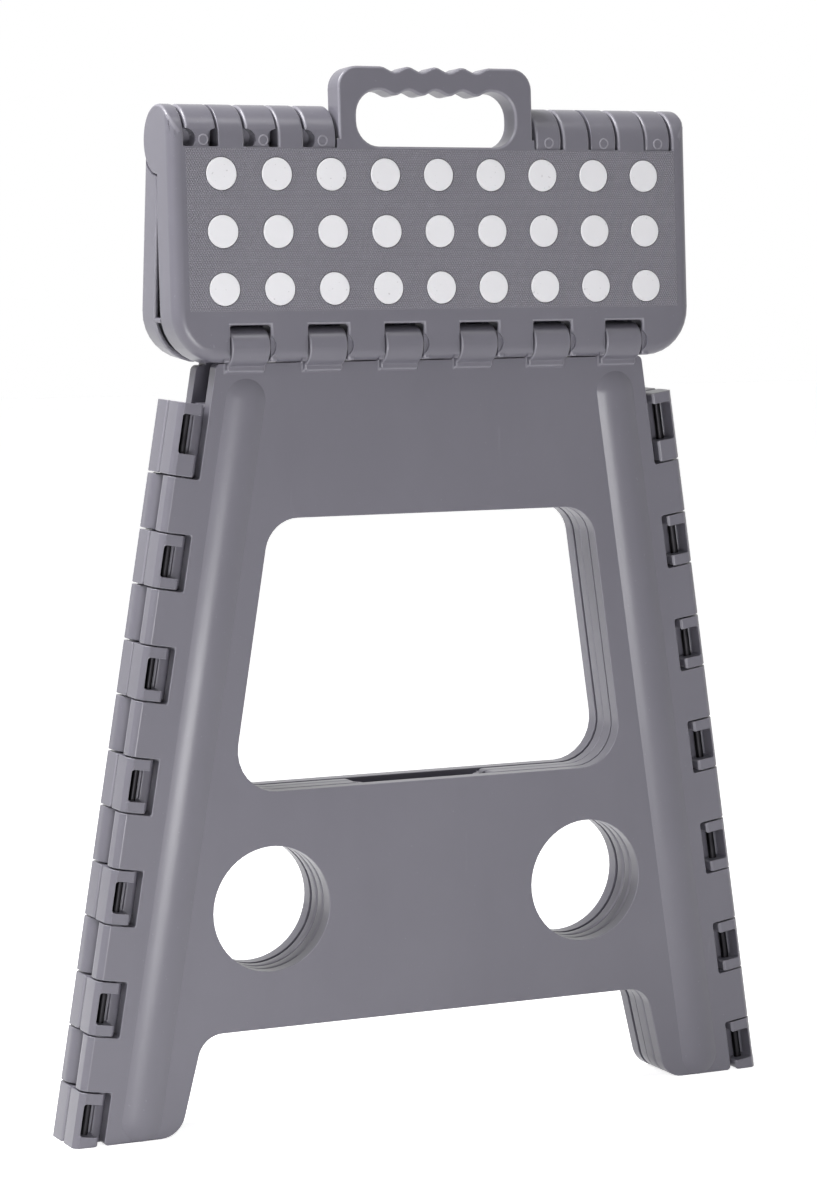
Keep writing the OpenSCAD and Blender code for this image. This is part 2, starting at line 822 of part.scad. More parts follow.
module back_right_corner_pin() {
    mirror([0, 1, 0]) front_right_corner_pin();
}

module back_left_corner_pin() {
    mirror([0, 1, 0]) mirror([1, 0, 0]) front_right_corner_pin();
}

// Two short pins on the fold axis, below and above the window
module right_fold_pins() {
    color(steel) at_fold() {
        translate([0, 0, low_start + gap]) cylinder(r = fold_pin_r, h = low_knuckles * low_h - 2 * gap);
        translate([0, 0, high_start + gap]) cylinder(r = fold_pin_r, h = high_knuckles * high_h - 2 * gap);
    }
}

module left_fold_pins() {
    mirror([1, 0, 0]) right_fold_pins();
}

front_tread();
back_tread();
front_grip_discs();
back_grip_discs();
right_ridge_pin();
left_ridge_pin();
front_hinge_pin();
back_hinge_pin();
front_leg();
back_leg();
front_right_side();
front_left_side();
back_right_side();
back_left_side();
front_right_corner_pin();
front_left_corner_pin();
back_right_corner_pin();
back_left_corner_pin();
right_fold_pins();
left_fold_pins();
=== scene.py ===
"""Folding step stool: moulded treads, legs and sides, grip discs, hinge pins and studio."""
import itertools
import json
import logging
import math
from dataclasses import dataclass, field
from enum import Enum

import bmesh
import bpy
import numpy as np
from mathutils import Matrix, Vector
from mathutils.bvhtree import BVHTree


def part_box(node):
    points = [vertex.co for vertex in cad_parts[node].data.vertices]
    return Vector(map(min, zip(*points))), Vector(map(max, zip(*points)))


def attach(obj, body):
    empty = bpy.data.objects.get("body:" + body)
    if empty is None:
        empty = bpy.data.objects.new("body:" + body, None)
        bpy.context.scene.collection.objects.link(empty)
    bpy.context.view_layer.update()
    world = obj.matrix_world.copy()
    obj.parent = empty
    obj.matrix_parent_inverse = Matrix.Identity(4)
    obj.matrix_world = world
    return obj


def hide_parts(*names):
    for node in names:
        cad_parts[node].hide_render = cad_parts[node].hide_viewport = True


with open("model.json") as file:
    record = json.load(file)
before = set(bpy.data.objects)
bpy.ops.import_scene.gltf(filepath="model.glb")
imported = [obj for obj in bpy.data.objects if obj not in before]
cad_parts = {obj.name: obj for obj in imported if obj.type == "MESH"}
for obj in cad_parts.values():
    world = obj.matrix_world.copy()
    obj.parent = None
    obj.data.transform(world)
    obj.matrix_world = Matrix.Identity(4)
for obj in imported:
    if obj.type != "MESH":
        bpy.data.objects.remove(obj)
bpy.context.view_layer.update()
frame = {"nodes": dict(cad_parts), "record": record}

MM = 0.001
# Share of the room beside an edge that its rounding may take.
ROOM_SHARE = 0.42
# Bend in degrees up to which a rim runs on from one edge to the next.
RIM_BEND = 35.0
# Share of a rim's length that may have less room than the rounding takes.
TIGHT_SHARE = 0.25
# Share of the radius by which a point must leave the old surface to count as stray.
STRAY_SHARE = 0.5
# How many radii a point may move from its corner.
REACH_SHARE = 2.0
# How deep an edge is rounded where its pale rim, a painted highlight, is at full strength.
RIM_DEPTH = 0.1 * MM
# Width under which a face counts as a sliver, and how many rounds of joining them are made.
SLIVER_WIDTH, SLIVER_PASSES = 0.01 * MM, 8
# Distances under which points are one: in a node's loose triangles, on a cut, and after it.
LOOSE_WELD, CUT_WELD, FINE_WELD = 0.002 * MM, 0.001 * MM, 0.01 * MM
# Angle in degrees up to which neighbouring faces count as one flat face.
FLAT_ANGLE = 0.4
# Lean of a tread half when the stool is folded, in degrees, and height of the ridge axis.
TREAD_TILT = 4.1746
RIDGE_Z = (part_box("right_ridge_pin")[0].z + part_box("right_ridge_pin")[1].z) / 2
log = logging.getLogger("step_stool")


class Half(Enum):
    """Which half of the folded stack a piece belongs to, as the sign of its Y."""

    FRONT = -1
    BACK = 1


@dataclass(frozen=True)
class Layout:
    """Where the holes, hinges and discs of the mouldings lie, in millimetres."""

    hole_x: float = 91.2
    hole_z: float = 113
    window_z: float = 243
    hinge_z: float = 399
    hinge_y: float = 15
    corner_y: float = 8.8
    hinge_reach: float = 103.3
    disc_pitch_x: float = 30
    disc_pitch_y: float = 28.5
    first_row: float = 18
    rows: int = 3
    columns: int = 9
    off_centre: float = 0.01


LAYOUT = Layout()


def linear(value: float) -> float:
    """Linear light of one sRGB channel.

    Args:
        value: The channel from 0 to 255.

    Returns:
        The linear value from 0 to 1.
    """
    share = value / 255
    return share / 12.92 if share <= 0.04045 else ((share + 0.055) / 1.055) ** 2.4


def tint(red: float, green: float, blue: float) -> tuple[float, float, float, float]:
    """An opaque linear colour from sRGB channels.

    Args:
        red: Red from 0 to 255.
        green: Green from 0 to 255.
        blue: Blue from 0 to 255.

    Returns:
        The colour as Blender's sockets take it.
    """
    return (linear(red), linear(green), linear(blue), 1.0)


class Signal:
    """A number on its way through a material's nodes, with plain arithmetic."""

    def __init__(self, board: "Board", socket: bpy.types.NodeSocket) -> None:
        """Wraps an output socket of a board."""
        self.board = board
        self.socket = socket

    def _math(self, operation: str, *values: "Signal | float") -> "Signal":
        """Adds one Math node.

        Args:
            operation: The node's operation.
            values: Its inputs in order.

        Returns:
            The node's result.
        """
        inputs = dict(enumerate(values))
        return self.board.number("ShaderNodeMath", {"operation": operation}, inputs)

    def __add__(self, other: "Signal | float") -> "Signal":
        """Sum."""
        return self._math("ADD", self, other)

    __radd__ = __add__

    def __sub__(self, other: "Signal | float") -> "Signal":
        """Difference."""
        return self._math("SUBTRACT", self, other)

    def __rsub__(self, other: "Signal | float") -> "Signal":
        """Reflected difference."""
        return self._math("SUBTRACT", other, self)

    def __mul__(self, other: "Signal | float") -> "Signal":
        """Product."""
        return self._math("MULTIPLY", self, other)

    __rmul__ = __mul__

    def __truediv__(self, other: "Signal | float") -> "Signal":
        """Quotient."""
        return self._math("DIVIDE", self, other)

    def least(self, other: "Signal | float") -> "Signal":
        """The smaller of two values."""
        return self._math("MINIMUM", self, other)

    def most(self, other: "Signal | float") -> "Signal":
        """The larger of two values."""
        return self._math("MAXIMUM", self, other)

    def fraction(self) -> "Signal":
        """The part after the point."""
        return self._math("FRACT", self)

    def size(self) -> "Signal":
        """The value without its sign."""
        return self._math("ABSOLUTE", self)

    def root(self) -> "Signal":
        """Square root."""
        return self._math("SQRT", self)

    def step(self, low: float, high: float) -> "Signal":
        """A smooth step from 0 at low to 1 at high.

        Args:
            low: Value where the step starts.
            high: Value where the step ends.

        Returns:
            The stepped value, held between 0 and 1.
        """
        return self.board.number(
            "ShaderNodeMapRange",
            {"interpolation_type": "SMOOTHSTEP", "clamp": True},
            {"Value": self, "From Min": low, "From Max": high, "To Min": 0.0, "To Max": 1.0},
        )

    def past(self, start: float, soft: float) -> "Signal":
        """1 from a start on, softly."""
        return self.step(start, start + soft)

    def until(self, end: float, soft: float) -> "Signal":
        """1 up to an end, softly."""
        return 1 - self.step(end - soft, end)


class Board:
    """The node tree of a material or of the world, filled by name."""

    def __init__(self, owner: bpy.types.Material | bpy.types.World,
                 shader: str = "BSDF_PRINCIPLED") -> None:
        """Takes over the nodes of a new material or world.

        Args:
            owner: The material or world.
            shader: Type of the shader node that it starts with.
        """
        owner.use_nodes = True
        self.owner = owner
        self.nodes = owner.node_tree.nodes
        self.links = owner.node_tree.links
        self.shader = next(node for node in self.nodes if node.type == shader)

    @classmethod
    def of_material(cls, name: str) -> "Board":
        """The board of a new material."""
        return cls(bpy.data.materials.new(name))

    def _feed(self, socket: bpy.types.NodeSocket, value: object) -> None:
        """Links or sets one input socket.

        Args:
            socket: The input.
            value: A Signal, a socket, or a plain value.
        """
        if isinstance(value, Signal):
            self.links.new(value.socket, socket)
        elif isinstance(value, bpy.types.NodeSocket):
            self.links.new(value, socket)
        else:
            socket.default_value = value

    def node(self, kind: str, settings: dict[str, object],
             inputs: dict[object, object]) -> bpy.types.Node:
        """Adds a node of any kind.

        Args:
            kind: The node's type.
            settings: Its properties.
            inputs: Values or links of its sockets, by name or number.

        Returns:
            The node.
        """
        made = self.nodes.new(kind)
        for key, value in settings.items():
            setattr(made, key, value)
        for key, value in inputs.items():
            self._feed(made.inputs[key], value)
        return made

    def number(self, kind: str, settings: dict[str, object], inputs: dict[object, object],
               output: object = 0) -> Signal:
        """Adds a node and takes one of its outputs as a number.

        Args:
            kind: The node's type.
            settings: Its properties.
            inputs: Values or links of its sockets.
            output: Name or number of the output.

        Returns:
            The output.
        """
        return Signal(self, self.node(kind, settings, inputs).outputs[output])

    def place(self) -> bpy.types.NodeSocket:
        """The point on the piece, in metres."""
        return self.node("ShaderNodeTexCoord", {}, {}).outputs["Object"]

    def marked(self, name: str) -> Signal:
        """A value that the mesh itself carries, by its name."""
        return self.number("ShaderNodeAttribute", {"attribute_name": name}, {}, "Fac")

    def seen(self) -> Signal:
        """Tells the rays that show a surface to the camera from those that light the stool.

        Returns:
            1 on rays straight from the camera, by way of a gloss or through glass, and 0 on others.
        """
        path = self.node("ShaderNodeLightPath", {}, {})
        camera, gloss, glass = (Signal(self, path.outputs[f"Is {way} Ray"])
                                for way in ("Camera", "Glossy", "Transmission"))
        return camera.most(gloss).most(glass)

    def axes(self) -> tuple[Signal, Signal, Signal]:
        """The point on the piece as three numbers.

        Returns:
            Its X, Y and Z in metres.
        """
        split = self.node("ShaderNodeSeparateXYZ", {}, {0: self.place()})
        x, y, z = (Signal(self, output) for output in split.outputs)
        return x, y, z

    def stretched(self, x: float, y: float, z: float) -> bpy.types.NodeSocket:
        """The point on the piece with its axes scaled.

        Args:
            x: Scale along X.
            y: Scale along Y.
            z: Scale along Z.

        Returns:
            The scaled point.
        """
        sockets = {"Vector": self.place(), "Scale": (x, y, z)}
        return self.node("ShaderNodeMapping", {}, sockets).outputs[0]

    def noise(self, scale: float, detail: float = 2.0, roughness: float = 0.5,
              at: bpy.types.NodeSocket | None = None) -> Signal:
        """Soft noise.

        Args:
            scale: Features per metre.
            detail: Number of finer layers.
            roughness: Strength of the finer layers.
            at: Point to read, or none for the point on the piece.

        Returns:
            The noise, about 0.5.
        """
        sockets = {"Vector": at or self.place(), "Scale": scale, "Detail": detail,
                   "Roughness": roughness}
        return self.number("ShaderNodeTexNoise", {}, sockets)

    def mixed(self, share: "Signal | float", first: object, second: object) -> bpy.types.NodeSocket:
        """A colour between two others.

        Args:
            share: Share of the second colour.
            first: The first colour.
            second: The second colour.

        Returns:
            The mixed colour.
        """
        factor, one, other, result = 0, 6, 7, 2
        made = self.node("ShaderNodeMix", {"data_type": "RGBA"},
                         {factor: share, one: first, other: second})
        return made.outputs[result]

    def bumped(self, height: Signal, distance: float, strength: float = 1.0,
               under: bpy.types.NodeSocket | None = None) -> bpy.types.NodeSocket:
        """A surface normal with relief.

        Args:
            height: Relief from 0 to 1.
            distance: Depth of the relief in metres.
            strength: Share of the relief that shows.
            under: Normal that already carries a coarser relief.

        Returns:
            The normal.
        """
        sockets = {"Strength": strength, "Distance": distance, "Height": height}
        if under is not None:
            sockets["Normal"] = under
        return self.node("ShaderNodeBump", {}, sockets).outputs[0]

    def finish(self, **sockets: object) -> bpy.types.Material | bpy.types.World:
        """Feeds the shader and hands over what the board belongs to.

        Args:
            sockets: Values or links by socket name, with _ for a space.

        Returns:
            The finished material or world.
        """
        for key, value in sockets.items():
            self._feed(self.shader.inputs[key.replace("_", " ")], value)
        return self.owner


@dataclass(frozen=True)
class DeckRelief:
    """Fine moulded grip bumps on the deck of a tread half, and rings of painted shade round its
    discs.
    """

    half: Half
    pitch: float = 1.34 * MM
    half_width: float = 139 * MM
    start: float = 5.2 * MM
    end: float = 86 * MM
    fade: float = 0.5 * MM
    disc_r: float = 8.15 * MM
    # Width of the painted shade rings round the discs, and the softness of their edges.
    shade_ring_width: float = 0.3 * MM
    bare_half: float = 0.0
    bare_end: float = 0.0

    def reach(self, board: Board) -> Signal:
        """Distance from the ridge along the tread.

        Args:
            board: The material's board.

        Returns:
            The distance in metres.
        """
        _, y, z = board.axes()
        lean = math.radians(90 - TREAD_TILT)
        return y * (self.half.value * math.cos(lean)) + (z - RIDGE_Z) * -math.sin(lean)

    def seats(self, board: Board) -> Signal:
        """Narrow rings of painted shade round the grip discs, for the shadow in the gap at each
        disc's edge.

        Args:
            board: The material's board.

        Returns:
            1 in the painted shade rings and 0 elsewhere.
        """
        pitch_x, pitch_y = LAYOUT.disc_pitch_x * MM, LAYOUT.disc_pitch_y * MM
        whole = 20.5
        shade_ring_width, aside, reach = self.shade_ring_width, board.axes()[0], self.reach(board)
        across = ((aside / pitch_x + whole).fraction() - 0.5) * pitch_x
        along = (((reach - LAYOUT.first_row * MM) / pitch_y + whole).fraction() - 0.5) * pitch_y
        far = (across * across + along * along).root()
        ring = far.step(self.disc_r - 2 * shade_ring_width, self.disc_r - shade_ring_width) \
            * (1 - far.step(self.disc_r + shade_ring_width, self.disc_r + 2.5 * shade_ring_width))
        deck = aside.size().until(self.half_width, shade_ring_width) \
            * reach.past(self.start, shade_ring_width) * reach.until(self.end, shade_ring_width)
        clothed = aside.size().past(self.bare_half, shade_ring_width).most(reach.past(self.bare_end, shade_ring_width))
        return ring * deck * clothed

    def height(self, board: Board) -> Signal:
        """Height of the bumps, which lie in rows that are offset by half a pitch.

        Args:
            board: The material's board.

        Returns:
            0 between the bumps to 1 on top of them.
        """
        aside, reach = board.axes()[0], self.reach(board)
        row_share, whole = math.sqrt(3), 200.0
        across, along = aside / self.pitch, reach / (self.pitch * row_share)
        near = None
        for shift in (0.0, 0.5):
            a = (across + shift + whole).fraction() - 0.5
            b = ((along + shift + whole).fraction() - 0.5) * row_share
            far = a * a + b * b
            near = far if near is None else near.least(far)
        top, foot = 0.08, 0.5
        inside = aside.size().until(self.half_width, self.fade) \
            * reach.past(self.start, self.fade) * reach.until(self.end, self.fade)
        return (1 - near.root().step(top, foot)) * inside


@dataclass(frozen=True)
class MouldedPlastic:
    """Cool grey satin plastic with flow mottling, fine grain, scuffs and flecks, pale rims on
    rounded edges as painted highlights and, on a deck, painted highlights on the grip bumps and
    painted shade round the discs.
    """

    name: str = "moulded_plastic"
    body: tuple[float, float, float, float] = tint(113, 111, 121)
    pale: tuple[float, float, float, float] = tint(150, 148, 157)
    deep: tuple[float, float, float, float] = tint(98, 96, 106)
    disc_ring_shade: tuple[float, float, float, float] = tint(70, 69, 76)
    cloud_share: float = 0.22
    flow_share: float = 0.14
    fleck_share: float = 0.22
    scuff_share: float = 0.10
    rim_highlight_share: float = 0.6
    bump_highlight_share: float = 0.7
    disc_ring_shade_share: float = 0.7
    grain_depth: float = 0.05 * MM
    bump_depth: float = 0.30 * MM
    sheen_rough: float = 0.28
    relief: DeckRelief | None = None

    def make(self) -> bpy.types.Material:
        """Builds the material.

        Returns:
            The material.
        """
        board = Board.of_material(self.name)
        cloud = board.noise(scale=9, detail=3.0, roughness=0.55).step(0.3, 0.7)
        drawn_out = board.stretched(1.0, 1.0, 0.35)
        flow = board.noise(scale=26, detail=3.0, roughness=0.6, at=drawn_out).step(0.35, 0.7)
        fleck = board.noise(scale=620, detail=1.0).step(0.74, 0.8)
        streaked = board.stretched(1.0, 1.0, 0.12)
        scuff = board.noise(scale=90, detail=5.0, roughness=0.65, at=streaked).step(0.66, 0.74)
        grain = board.noise(scale=2400, detail=2.0)
        darker = cloud * self.cloud_share + flow * self.flow_share
        paler = fleck * self.fleck_share + scuff * self.scuff_share
        colour = board.mixed(paler, board.mixed(darker, self.body, self.deep), self.pale)
        # Painted highlight: the rounded rims are mixed towards the pale colour by the mark that
        # settle leaves.
        colour = board.mixed(board.marked("rim") * self.rim_highlight_share, colour, self.pale)
        normal = board.bumped(grain, self.grain_depth, strength=0.12)
        rough = self.sheen_rough + cloud * 0.05 + scuff * 0.08
        if self.relief is not None:
            bumps, seats = self.relief.height(board), self.relief.seats(board)
            # Painted highlight: the tops of the grip bumps are mixed towards the pale colour.
            colour = board.mixed(bumps * self.bump_highlight_share, colour, self.pale)
            # Painted shade: a dark ring round each disc stands in for the shadow in the gap at its
            # edge.
            colour = board.mixed(seats * self.disc_ring_shade_share, colour, self.disc_ring_shade)
            normal = board.bumped(bumps, self.bump_depth, under=normal)
            rough = rough + bumps * 0.04
        return board.finish(Base_Color=colour, Roughness=rough, Normal=normal)


@dataclass(frozen=True)
class GripRubber:
    """Off-white soft discs with a faint waviness and a few dark specks."""

    name: str = "grip_rubber"
    body: tuple[float, float, float, float] = tint(240, 239, 243)
    speck: tuple[float, float, float, float] = tint(190, 188, 192)
    rough: float = 0.5
    wave_depth: float = 0.06 * MM

    def make(self) -> bpy.types.Material:
        """Builds the material.

        Returns:
            The material.
        """
        board = Board.of_material(self.name)
        specks = board.noise(scale=700, detail=0.0).step(0.80, 0.84)
        tone = board.noise(scale=40, detail=2.0)
        colour = board.mixed(specks * 0.5 + tone * 0.05, self.body, self.speck)
        waves = board.noise(scale=1100, detail=3.0)
        normal = board.bumped(waves, self.wave_depth, strength=0.15)
        return board.finish(Base_Color=colour, Roughness=self.rough + tone * 0.1, Normal=normal)


@dataclass(frozen=True)
class PlainSteel:
    """Dark steel pins with fine marks and duller patches; their colour is darkened further as
    painted shade for the clip windows and notches that they show in.
    """

    name: str = "pin_steel"
    # Painted shade: the steel is coloured near black so that the clip windows and notches where the
    # pins show read dark.
    body: tuple[float, float, float, float] = tint(30, 29, 32)
    steel_wear_and_rim_highlight: tuple[float, float, float, float] = tint(52, 51, 54)
    metal: float = 0.9
    rough: float = 0.32
    mark_depth: float = 0.03 * MM

    def make(self) -> bpy.types.Material:
        """Builds the material.

        Returns:
            The material.
        """
        board = Board.of_material(self.name)
        marks = board.noise(scale=800, detail=3.0, roughness=0.6)
        dull = board.noise(scale=60, detail=2.0).step(0.4, 0.75)
        colour = board.mixed(dull * 0.5, self.body, self.steel_wear_and_rim_highlight)
        normal = board.bumped(marks, self.mark_depth, strength=0.2)
        return board.finish(Base_Color=colour, Metallic=self.metal,
                            Roughness=self.rough + dull * 0.15, Normal=normal)


@dataclass(frozen=True)
class Cut:
    """A plane along which the faces of a moulding are parted before they are rounded."""

    at: tuple[float, float, float]
    normal: tuple[float, float, float]


class Bench:
    """The hand work on meshes: selecting, merging, rounding and joining."""

    @staticmethod
    def only(*pieces: bpy.types.Object) -> None:
        """Selects these pieces alone, with the first one active.

        Args:
            pieces: The pieces.
        """
        bpy.ops.object.select_all(action="DESELECT")
        for piece in pieces:
            piece.select_set(True)
        bpy.context.view_layer.objects.active = pieces[0]

    @staticmethod
    def placed(piece: bpy.types.Object, name: str) -> bpy.types.Object:
        """Moves a piece's place into its mesh and names it.

        Args:
            piece: The piece.
            name: Its new name.

        Returns:
            The piece.
        """
        Bench.only(piece)
        bpy.ops.object.transform_apply(location=True, rotation=True, scale=True)
        piece.name = name
        piece.data.name = name
        return piece

    @staticmethod
    def apply(piece: bpy.types.Object) -> None:
        """Applies every modifier of a piece.

        Args:
            piece: The piece.
        """
        Bench.only(piece)
        for modifier in list(piece.modifiers):
            bpy.ops.object.modifier_apply(modifier=modifier.name)

    @staticmethod
    def copy_of(node: str, name: str, cuts: list["Cut"]) -> bpy.types.Object:
        """A merged copy of a CAD node's mesh, with its flat faces made whole.

        Args:
            node: The node.
            name: Name of the copy.
            cuts: Planes that part the faces round every hole, so that no face rings one.

        Returns:
            The new object.
        """
        piece = bpy.data.objects.new(name, frame["nodes"][node].data.copy())
        piece.data.name = name
        bpy.context.scene.collection.objects.link(piece)
        piece.data.materials.clear()
        Bench.only(piece)
        bpy.ops.object.mode_set(mode="EDIT")
        bpy.ops.mesh.select_all(action="SELECT")
        bpy.ops.mesh.customdata_custom_splitnormals_clear()
        bpy.ops.mesh.remove_doubles(threshold=LOOSE_WELD)
        Bench.take_slivers(piece)
        for cut in cuts:
            bpy.ops.mesh.select_all(action="SELECT")
            bpy.ops.mesh.bisect(plane_co=cut.at, plane_no=cut.normal, threshold=CUT_WELD)
            bpy.ops.mesh.mark_seam(clear=False)
        bpy.ops.mesh.select_all(action="SELECT")
        bpy.ops.mesh.remove_doubles(threshold=FINE_WELD)
        bpy.ops.mesh.dissolve_limited(angle_limit=math.radians(FLAT_ANGLE), delimit={"SEAM"})
        bpy.ops.mesh.remove_doubles(threshold=FINE_WELD)
        bpy.ops.object.mode_set(mode="OBJECT")
        return piece

    @staticmethod
    def take_slivers(piece: bpy.types.Object) -> None:
        """Joins faces with no width to the neighbour along their longest edge, in edit mode.

        Args:
            piece: The piece.
        """
        mesh = bmesh.from_edit_mesh(piece.data)
        for _ in range(SLIVER_PASSES):
            slivers = [face for face in mesh.faces if 2 * face.calc_area()
                       < SLIVER_WIDTH * max(edge.calc_length() for edge in face.edges)]
            if not slivers:
                break
            for sliver in slivers:
                if not sliver.is_valid:
                    continue
                longest = max(sliver.edges, key=lambda edge: edge.calc_length())
                if len(longest.link_faces) == 2:
                    bmesh.ops.dissolve_edges(mesh, edges=[longest], use_verts=False)
        bmesh.update_edit_mesh(piece.data)

    @staticmethod
    def room_beside(edge: bmesh.types.BMEdge,
                    rows: dict[int, tuple[np.ndarray, np.ndarray]]) -> float:
        """Width of the faces beside an edge, square to it near its ends and at its middle.

        Args:
            edge: The edge.
            rows: Starts and ends of every face's edges, by face number.

        Returns:
            The smallest width in metres.
        """
        start, end = (np.array(v.co) for v in edge.verts)
        along = end - start
        least, none, tiny = 1.0, 1e-12, 1e-6
        for face in edge.link_faces:
            normal = np.array(face.normal)
            inward = np.cross(normal, along)
            inward /= max(np.linalg.norm(inward), none)
            first, last = rows[face.index]
            middle = np.array(face.calc_center_median())
            across = np.cross(normal, inward)
            for share in (0.04, 0.5, 0.96):
                at = start + share * along
                a_side, b_side = (first - at) @ across, (last - at) @ across
                a_in, b_in = (first - at) @ inward, (last - at) @ inward
                hit = a_side * b_side < 0
                if not hit.any():
                    continue
                share_of_row = a_side[hit] / (a_side[hit] - b_side[hit])
                reach = a_in[hit] + (b_in[hit] - a_in[hit]) * share_of_row
                if (middle - at) @ inward < 0 and not (reach > tiny).any():
                    reach = -reach
                ahead = np.abs(reach[np.abs(reach) > tiny])
                if len(ahead):
                    least = min(least, float(ahead.min()))
        return least

    @staticmethod
    def rims(edges: list[bmesh.types.BMEdge], bend: float) -> list[list[bmesh.types.BMEdge]]:
        """Sorts edges into rims that run on without a corner.

        Args:
            edges: The edges.
            bend: Angle in degrees up to which one edge goes on in the next.

        Returns:
            The rims, each a list of edges.
        """
        rim_of = {edge: [edge] for edge in edges}
        straight = math.cos(math.radians(bend))
        for corner in {corner for edge in edges for corner in edge.verts}:
            ways = [(edge, (edge.other_vert(corner).co - corner.co).normalized())
                    for edge in corner.link_edges if edge in rim_of]
            for (first, first_way), (second, second_way) in itertools.combinations(ways, 2):
                if -first_way.dot(second_way) <= straight or rim_of[first] is rim_of[second]:
                    continue
                rims = rim_of[first], rim_of[second]
                longer, shorter = sorted(rims, key=len, reverse=True)
                longer.extend(shorter)
                for edge in shorter:
                    rim_of[edge] = longer
        return list({id(rim): rim for rim in rim_of.values()}.values())

    @staticmethod
    def weigh(mesh: bmesh.types.BMesh, radius: float, sharp: float, crease: float) -> None:
        """Sets how much of the radius each edge gets, even along a rim and less in narrow places.

        Args:
            mesh: The mesh.
            radius: Full radius of the rounding.
            sharp: Angle in degrees from which a hollow edge is rounded.
            crease: Angle in degrees from which a proud edge is, and a hollow one shows as a line.
        """
        weights = mesh.edges.layers.float.get("bevel_weight_edge") \
            or mesh.edges.layers.float.new("bevel_weight_edge")
        limit, fold = math.radians(sharp), math.radians(crease)
        rows = {}
        for face in mesh.faces:
            corners = np.array([v.co for v in face.verts])
            rows[face.index] = (corners, np.roll(corners, -1, axis=0))
        room = {}
        for edge in mesh.edges:
            bend = edge.calc_face_angle(0.0) if len(edge.link_faces) == 2 else 0.0
            if bend < fold or (bend < limit and not edge.is_convex):
                edge.smooth = bend < fold
                continue
            room[edge] = min(1.0, ROOM_SHARE * Bench.room_beside(edge, rows) / radius)
        for rim in Bench.rims(list(room), RIM_BEND):
            rim.sort(key=room.get)
            reached = np.cumsum([edge.calc_length() for edge in rim])
            weight = room[rim[int(np.searchsorted(reached, TIGHT_SHARE * reached[-1]))]]
            for edge in rim:
                edge[weights] = weight

    @staticmethod
    def settle(piece: bpy.types.Object, twin: bpy.types.Object, before: BVHTree,
               radius: float) -> None:
        """Brings stray points of a rounding back and marks how far each lies inside the old corner,
        which sets how pale the rim is painted as a highlight.

        Args:
            piece: The rounded piece.
            twin: The same piece rounded by half the radius, which shows the way each point moved.
            before: The surface before it was rounded.
            radius: Full radius of the rounding.
        """
        reach = REACH_SHARE * radius
        # The rim mark sets the painted highlight on the rounded edges.
        steel_wear_and_rim_highlight = piece.data.attributes.new("rim", "FLOAT", "POINT")
        for corner, halfway, rim in zip(piece.data.vertices, twin.data.vertices, steel_wear_and_rim_highlight.data):
            moved = 2 * (corner.co - halfway.co)
            if moved.length > reach:
                corner.co -= moved * (1 - reach / moved.length)
            nearest, outward, _, gap = before.find_nearest(corner.co)
            if gap > STRAY_SHARE * radius:
                corner.co = nearest
            elif (corner.co - nearest).dot(outward) < 0:
                rim.value = min(1.0, gap / RIM_DEPTH)

    @staticmethod
    def round_edges(piece: bpy.types.Object, radius: float, segments: int = 3,
                    sharp: float = 32.0, crease: float = 16.0) -> None:
        """Rounds the sharp edges of a piece.

        Args:
            piece: The piece.
            radius: Full radius of the rounding.
            segments: Steps of the rounding.
            sharp: Angle in degrees from which a hollow edge is rounded.
            crease: Angle in degrees from which a proud edge is, and a hollow one shows as a line.
        """
        mesh = bmesh.new()
        mesh.from_mesh(piece.data)
        mesh.faces.index_update()
        before = BVHTree.FromBMesh(mesh)
        Bench.weigh(mesh, radius, sharp, crease)
        mesh.to_mesh(piece.data)
        mesh.free()
        twin = piece.copy()
        twin.data = piece.data.copy()
        bpy.context.scene.collection.objects.link(twin)
        Bench.bevelled(piece, radius, segments)
        Bench.bevelled(twin, radius / 2, segments)
        Bench.settle(piece, twin, before, radius)
        bpy.data.meshes.remove(twin.data)

    @staticmethod
    def bevelled(piece: bpy.types.Object, radius: float, segments: int) -> None:
        """Bevels the weighted edges of a piece.

        Args:
            piece: The piece.
            radius: Width of the bevel where the weight is one.
            segments: Its steps.
        """
        bevel = piece.modifiers.new("rounding", "BEVEL")
        bevel.limit_method = "WEIGHT"
        bevel.width = radius
        bevel.segments = segments
        bevel.use_clamp_overlap = False
        bevel.loop_slide = True
        Bench.apply(piece)

    @staticmethod
    def smooth(piece: bpy.types.Object, angle: float = 35.0) -> None:
        """Shades a piece smooth up to an angle, with its large faces kept flat.

        Args:
            piece: The piece.
            angle: Angle in degrees from which an edge stays sharp.
        """
        Bench.only(piece)
        bpy.ops.object.shade_smooth_by_angle(angle=math.radians(angle), keep_sharp_edges=True)
        flat = piece.modifiers.new("flat faces", "WEIGHTED_NORMAL")
        flat.mode = "FACE_AREA"
        flat.keep_sharp = True
        Bench.apply(piece)

    @staticmethod
    def joined(pieces: list[bpy.types.Object], name: str) -> bpy.types.Object:
        """Joins pieces into one object.

        Args:
            pieces: The pieces.
            name: Name of the result.

        Returns:
            The joined object.
        """
        Bench.only(*pieces)
        bpy.ops.object.join()
        pieces[0].name = name
        pieces[0].data.name = name
        return pieces[0]


def upright_cuts() -> list[Cut]:
    """Planes that part the faces of a leg or side at its holes and pins.

    Returns:
        The planes.
    """
    levels = (LAYOUT.hole_z, LAYOUT.window_z, LAYOUT.hinge_z)
    asides = (-LAYOUT.hole_x, LAYOUT.off_centre, LAYOUT.hole_x)
    depths = (-LAYOUT.hinge_y, -LAYOUT.corner_y, 0.0, LAYOUT.corner_y, LAYOUT.hinge_y)
    return [Cut((0, 0, z * MM), (0, 0, 1)) for z in levels] \
        + [Cut((x * MM, 0, 0), (1, 0, 0)) for x in asides] \
        + [Cut((0, y * MM, 0), (0, 1, 0)) for y in depths]


